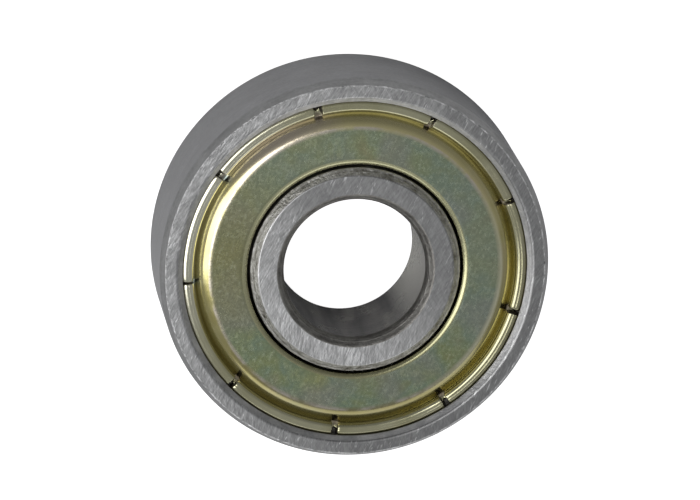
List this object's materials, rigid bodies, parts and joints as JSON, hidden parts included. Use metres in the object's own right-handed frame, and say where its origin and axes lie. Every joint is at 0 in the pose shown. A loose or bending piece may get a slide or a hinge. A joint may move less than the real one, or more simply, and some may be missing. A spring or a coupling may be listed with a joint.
{
  "type": "ball bearing",
  "caption": "Deep-groove ball bearing, 8 x 22 x 7 mm, with two slotted pressed-steel shields; the inner ring, riveted cage and balls turn inside the outer ring.",
  "frame": {"origin": "centre of the bearing, on its axis halfway between its side faces", "axes": "+Z along the bearing's axis towards the front shield; +X through the middle of one slot of the front shield and through the centre of ball_1"},
  "size_m": [0.022, 0.022, 0.007],
  "materials": {
    "ring_steel": "ground bearing steel",
    "shield_plated": "yellow zinc passivated sheet steel",
    "cage_steel": "pressed bright sheet steel",
    "rivet_steel": "headed wire steel",
    "ball_steel": "lapped mirror finish"
  },
  "bodies": {
    "outer": {"outer_ring": "ring_steel", "front_shield": "shield_plated", "rear_shield": "shield_plated"},
    "inner": {"inner_ring": "ring_steel"},
    "cage": {"cage_half_front": "cage_steel", "cage_half_rear": "cage_steel", "cage_rivet_1": "rivet_steel", "cage_rivet_2": "rivet_steel", "cage_rivet_3": "rivet_steel", "cage_rivet_4": "rivet_steel", "cage_rivet_5": "rivet_steel", "cage_rivet_6": "rivet_steel", "cage_rivet_7": "rivet_steel"},
    "ball_1": {"ball_1": "ball_steel"},
    "ball_2": {"ball_2": "ball_steel"},
    "ball_3": {"ball_3": "ball_steel"},
    "ball_4": {"ball_4": "ball_steel"},
    "ball_5": {"ball_5": "ball_steel"},
    "ball_6": {"ball_6": "ball_steel"},
    "ball_7": {"ball_7": "ball_steel"}
  },
  "joints": [
    {"name": "inner_ring_spin", "type": "hinge", "parent": "outer", "child": "inner", "pos_m": [0, 0, 0], "axis": [0, 0, 1], "continuous": true},
    {"name": "cage_spin", "type": "hinge", "parent": "outer", "child": "cage", "pos_m": [0, 0, 0], "axis": [0, 0, 1], "continuous": true},
    {"name": "ball_1_spin", "type": "hinge", "parent": "cage", "child": "ball_1", "pos_m": [0.0075, 0, 0], "axis": [0, 0, 1], "continuous": true},
    {"name": "ball_2_spin", "type": "hinge", "parent": "cage", "child": "ball_2", "pos_m": [0.00468, 0.00586, 0], "axis": [0, 0, 1], "continuous": true},
    {"name": "ball_3_spin", "type": "hinge", "parent": "cage", "child": "ball_3", "pos_m": [-0.00167, 0.00731, 0], "axis": [0, 0, 1], "continuous": true},
    {"name": "ball_4_spin", "type": "hinge", "parent": "cage", "child": "ball_4", "pos_m": [-0.00676, 0.00325, 0], "axis": [0, 0, 1], "continuous": true},
    {"name": "ball_5_spin", "type": "hinge", "parent": "cage", "child": "ball_5", "pos_m": [-0.00676, -0.00325, 0], "axis": [0, 0, 1], "continuous": true},
    {"name": "ball_6_spin", "type": "hinge", "parent": "cage", "child": "ball_6", "pos_m": [-0.00167, -0.00731, 0], "axis": [0, 0, 1], "continuous": true},
    {"name": "ball_7_spin", "type": "hinge", "parent": "cage", "child": "ball_7", "pos_m": [0.00468, -0.00586, 0], "axis": [0, 0, 1], "continuous": true}
  ],
  "couplings": [
    {"joint": "cage_spin", "follows": "inner_ring_spin", "ratio": 0.36771},
    {"joint": "ball_1_spin", "follows": "inner_ring_spin", "ratio": -1.7575},
    {"joint": "ball_2_spin", "follows": "inner_ring_spin", "ratio": -1.7575},
    {"joint": "ball_3_spin", "follows": "inner_ring_spin", "ratio": -1.7575},
    {"joint": "ball_4_spin", "follows": "inner_ring_spin", "ratio": -1.7575},
    {"joint": "ball_5_spin", "follows": "inner_ring_spin", "ratio": -1.7575},
    {"joint": "ball_6_spin", "follows": "inner_ring_spin", "ratio": -1.7575},
    {"joint": "ball_7_spin", "follows": "inner_ring_spin", "ratio": -1.7575}
  ]
}
